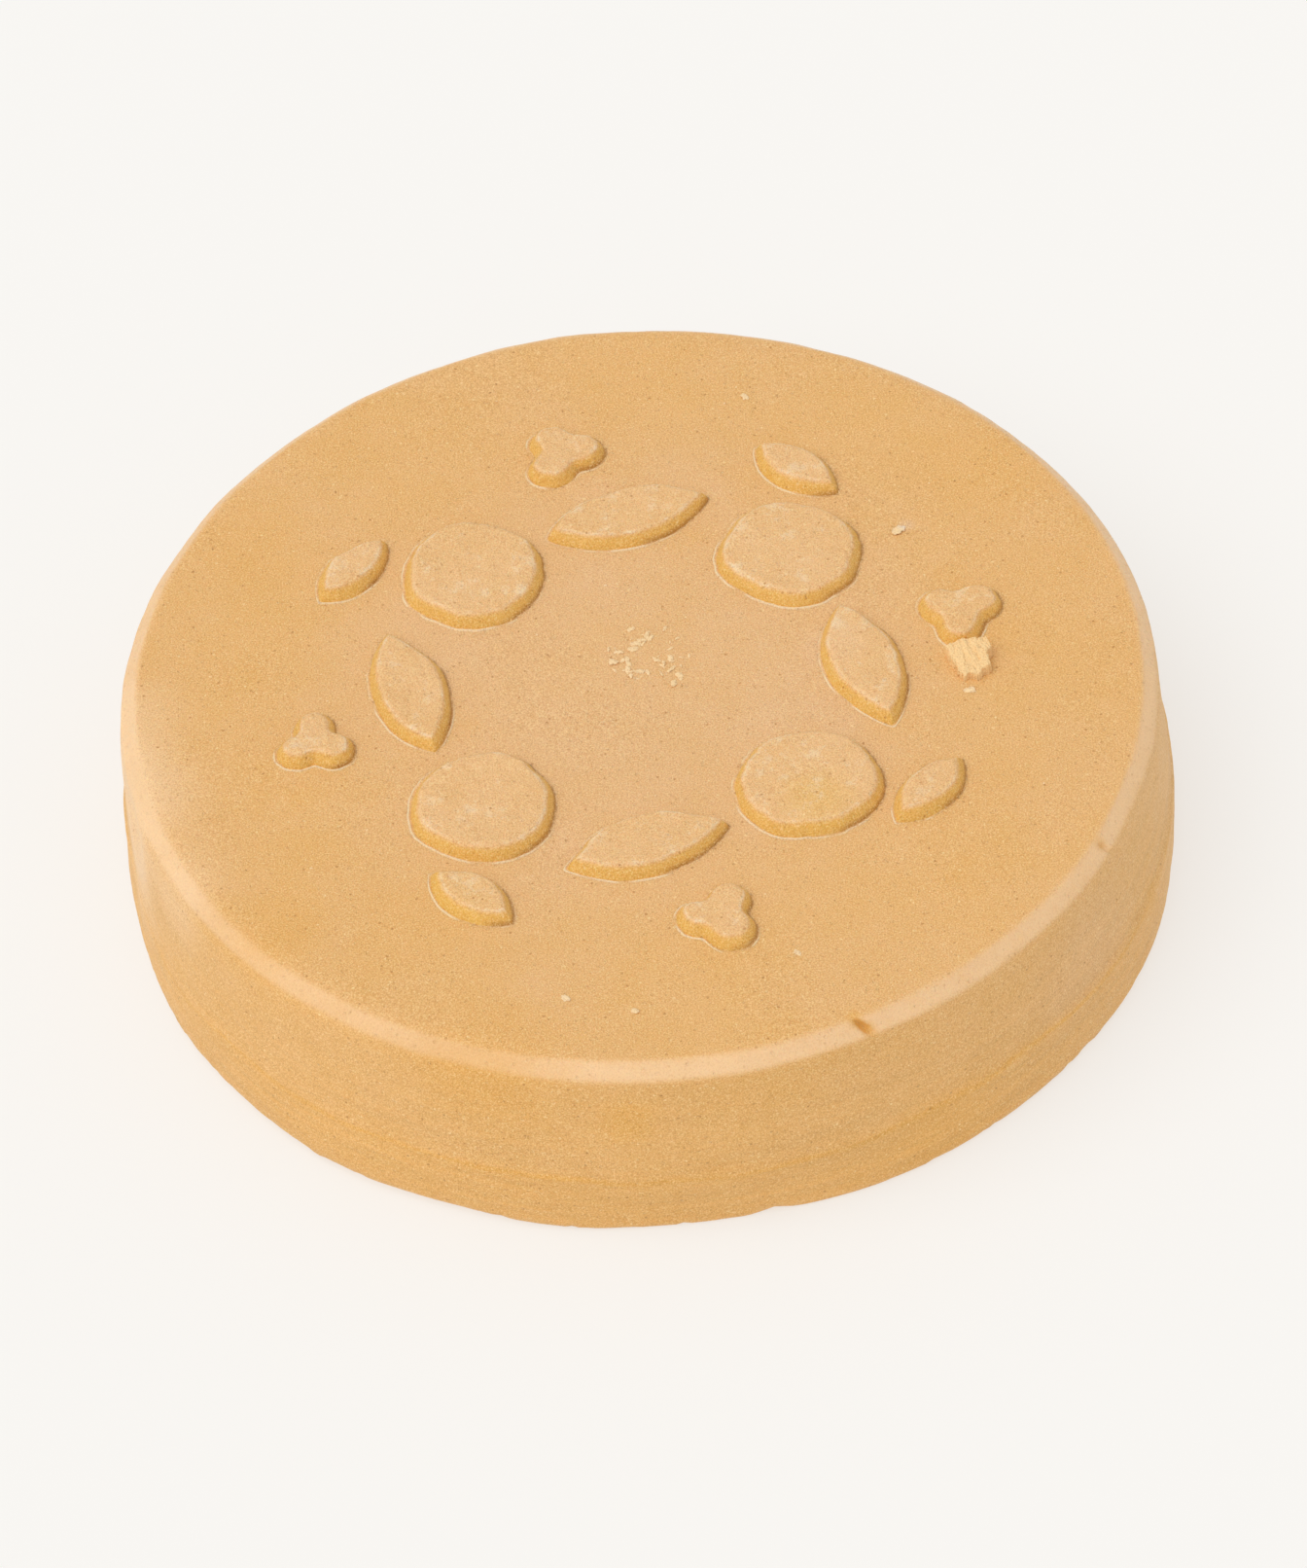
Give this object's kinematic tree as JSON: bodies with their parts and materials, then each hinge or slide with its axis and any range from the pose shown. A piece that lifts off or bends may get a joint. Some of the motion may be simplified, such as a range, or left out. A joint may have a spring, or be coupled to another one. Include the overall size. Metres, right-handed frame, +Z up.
{
  "type": "shaving soap puck",
  "caption": "Round cast cake of shaving soap with a bevelled rim and a ring of low botanical relief on its top face, for lathering in a shaving mug or bowl.",
  "frame": {"origin": "centre of the flat foot, on the surface that the puck rests on", "axes": "+Z up, out of the top face; +X is the side that carries the torn flake, through the first leaf"},
  "size_m": [0.07, 0.07, 0.016],
  "materials": {
    "soap_body": "waxy cast soap, warm butter-tan, satin, with fine grain and pits",
    "soap_relief": "the same soap, paler and chalkier on the tops of the motifs",
    "soap_crumb": "freshly broken soap, pale and chalky"
  },
  "bodies": {
    "root": {"cake": "soap_body", "fruit_1": "soap_relief", "fruit_2": "soap_relief", "fruit_3": "soap_relief", "fruit_4": "soap_relief", "leaf_1": "soap_relief", "leaf_2": "soap_relief", "leaf_3": "soap_relief", "leaf_4": "soap_relief", "leaflet_1": "soap_relief", "leaflet_2": "soap_relief", "leaflet_3": "soap_relief", "leaflet_4": "soap_relief", "berries_1": "soap_relief", "berries_2": "soap_relief", "berries_3": "soap_relief", "berries_4": "soap_relief", "torn_flake": "soap_crumb", "loose_crumbs": "soap_crumb"}
  },
  "joints": []
}
